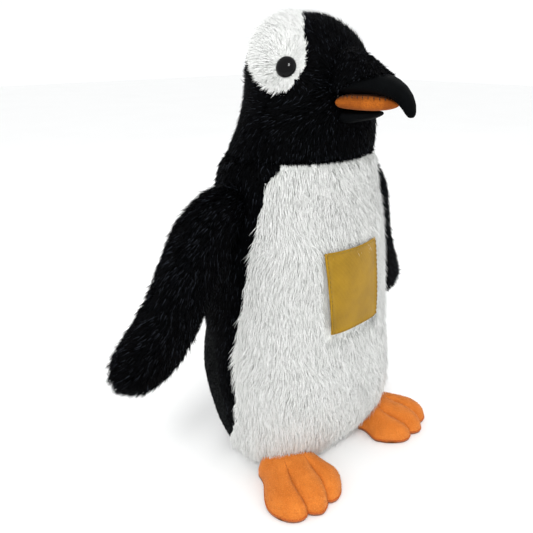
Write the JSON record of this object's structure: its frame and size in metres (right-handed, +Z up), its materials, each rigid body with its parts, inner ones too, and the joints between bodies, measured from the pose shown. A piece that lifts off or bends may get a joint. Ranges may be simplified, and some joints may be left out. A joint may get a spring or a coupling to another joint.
{
  "type": "plush penguin",
  "caption": "Standing stuffed penguin with a bean-weighted base, hooked beak, flippers that swing at the shoulders and splayed soft feet.",
  "frame": {"origin": "centre of the flat base, on the surface that the toy stands on", "axes": "+Z up; the toy faces -Y and its left side is towards +X"},
  "size_m": [0.2734, 0.1416, 0.298],
  "materials": {
    "black_plush": "long-pile polyester plush",
    "white_plush": "long-pile polyester plush",
    "black_velboa": "short-pile velboa",
    "black_suedette": "smooth brushed polyester",
    "orange_suedette": "brushed microsuede",
    "orange_velour": "short-pile velour",
    "orange_sole": "short-pile velour",
    "label_satin": "woven satin",
    "gold_thread": "polyester thread",
    "dark_thread": "polyester thread",
    "care_satin": "printed satin ribbon, blank",
    "fibre_fill": "polyester fibre fill",
    "pouch_cloth": "non-woven polypropylene",
    "pellets": "polyethylene pellets",
    "eye_plastic": "polished black acrylic",
    "washer_plastic": "moulded polyethylene"
  },
  "bodies": {
    "torso": {"belly_panel": "white_plush", "back_panel_right": "black_plush", "back_panel_left": "black_plush", "seat_panel": "black_velboa", "base_panel": "black_velboa", "torso_stuffing": "fibre_fill", "bean_pouch": "pouch_cloth", "bean_pellets": "pellets", "chest_label": "label_satin", "label_stitches": "gold_thread", "closing_stitches": "dark_thread", "care_label": "care_satin"},
    "head": {"face_panel": "black_plush", "head_band": "white_plush", "nape_panel_right": "black_plush", "nape_panel_left": "black_plush", "head_stuffing": "fibre_fill", "eye_right": "eye_plastic", "eye_left": "eye_plastic", "eye_washer_right": "washer_plastic", "eye_washer_left": "washer_plastic", "upper_beak": "black_suedette", "beak_stuffing": "fibre_fill", "lower_beak": "orange_suedette", "chin_gusset": "black_suedette", "beak_stitches": "dark_thread"},
    "flipper_right": {"flipper_right_front": "black_plush", "flipper_right_back": "black_plush", "flipper_right_stuffing": "fibre_fill"},
    "flipper_left": {"flipper_left_front": "black_plush", "flipper_left_back": "black_plush", "flipper_left_stuffing": "fibre_fill"},
    "foot_right": {"foot_right_top": "orange_velour", "foot_right_stuffing": "fibre_fill", "foot_right_sole": "orange_sole"},
    "foot_left": {"foot_left_top": "orange_velour", "foot_left_stuffing": "fibre_fill", "foot_left_sole": "orange_sole"}
  },
  "joints": [
    {"name": "neck_turn", "type": "hinge", "parent": "torso", "child": "head", "pos_m": [0, 0.003, 0.2174], "axis": [0, 0, 1], "range_deg": [-20, 20], "stiffness_Nm_per_rad": 0.6},
    {"name": "flipper_right_swing", "type": "hinge", "parent": "torso", "child": "flipper_right", "pos_m": [-0.072, 0.003, 0.189], "axis": [0, 1, 0], "range_deg": [-18, 55], "stiffness_Nm_per_rad": 0.5},
    {"name": "flipper_left_swing", "type": "hinge", "parent": "torso", "child": "flipper_left", "pos_m": [0.072, 0.003, 0.189], "axis": [0, -1, 0], "range_deg": [-4, 70], "stiffness_Nm_per_rad": 0.5},
    {"name": "foot_right_flex", "type": "hinge", "parent": "torso", "child": "foot_right", "pos_m": [-0.047, -0.0365, 0.0035], "axis": [-0.9455, 0.3256, 0], "range_deg": [-25, 40], "stiffness_Nm_per_rad": 0.15},
    {"name": "foot_left_flex", "type": "hinge", "parent": "torso", "child": "foot_left", "pos_m": [0.047, -0.0365, 0.0035], "axis": [-0.9455, -0.3256, 0], "range_deg": [-25, 40], "stiffness_Nm_per_rad": 0.15}
  ]
}
